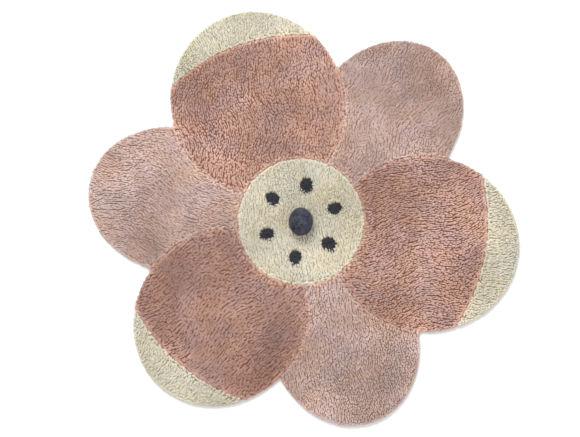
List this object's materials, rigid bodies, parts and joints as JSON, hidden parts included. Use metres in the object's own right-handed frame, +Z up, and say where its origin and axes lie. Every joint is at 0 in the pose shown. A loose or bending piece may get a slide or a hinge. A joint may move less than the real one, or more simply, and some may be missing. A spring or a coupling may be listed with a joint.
{
  "type": "wool rug",
  "caption": "Flower-shaped tufted wool rug in rose and cream pile with carved seams, dark seed spots and a felt ball sewn on at the middle.",
  "frame": {"origin": "centre of the rug's box, on the plane of its underside", "axes": "+Z up out of the pile; X along the rug's longer side, Y along its shorter side"},
  "size_m": [1.2816, 1.2324, 0.0843],
  "materials": {
    "deep_rose_pile": "deep rose-brown cut wool pile, matt, in wavy rows of tufts",
    "pale_rose_pile": "pale greyed rose cut wool pile, matt",
    "cream_pile": "cream cut wool pile, matt, finer than the rose",
    "rust_pile": "rust-rose wool pile laid open beside the carved seams, matt",
    "charcoal_pile": "blue-charcoal cut wool pile of the seed spots",
    "grey_felt": "dark grey felted wool, matt, faintly mottled, with a fine fuzz",
    "backing_cloth": "undyed woven cotton backing with a dull coating"
  },
  "bodies": {
    "root": {"rug": "deep_rose_pile", "felt_ball": "grey_felt"}
  },
  "joints": []
}
